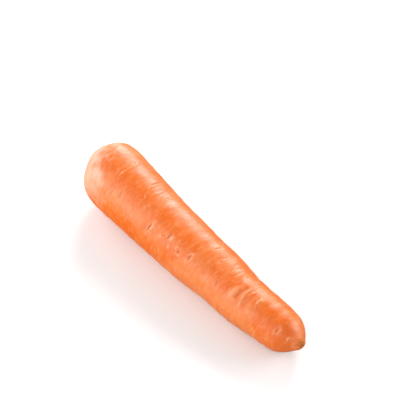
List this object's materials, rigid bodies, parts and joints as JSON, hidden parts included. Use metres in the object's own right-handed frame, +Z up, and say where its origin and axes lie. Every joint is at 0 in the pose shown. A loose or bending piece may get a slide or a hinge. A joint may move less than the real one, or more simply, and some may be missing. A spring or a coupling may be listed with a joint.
{
  "type": "carrot",
  "caption": "Whole carrot root lying on its side, rounded shoulder with the leaves cut away, slight taper to a blunt tip, fine cross creases in the skin.",
  "frame": {"origin": "middle of the box round the root, at the ground it lies on", "axes": "+X from the crown towards the tip, +Z up"},
  "size_m": [0.1748, 0.0398, 0.0402],
  "materials": {
    "skin": "satin"
  },
  "bodies": {
    "root": {"root_flesh": "skin"}
  },
  "joints": []
}
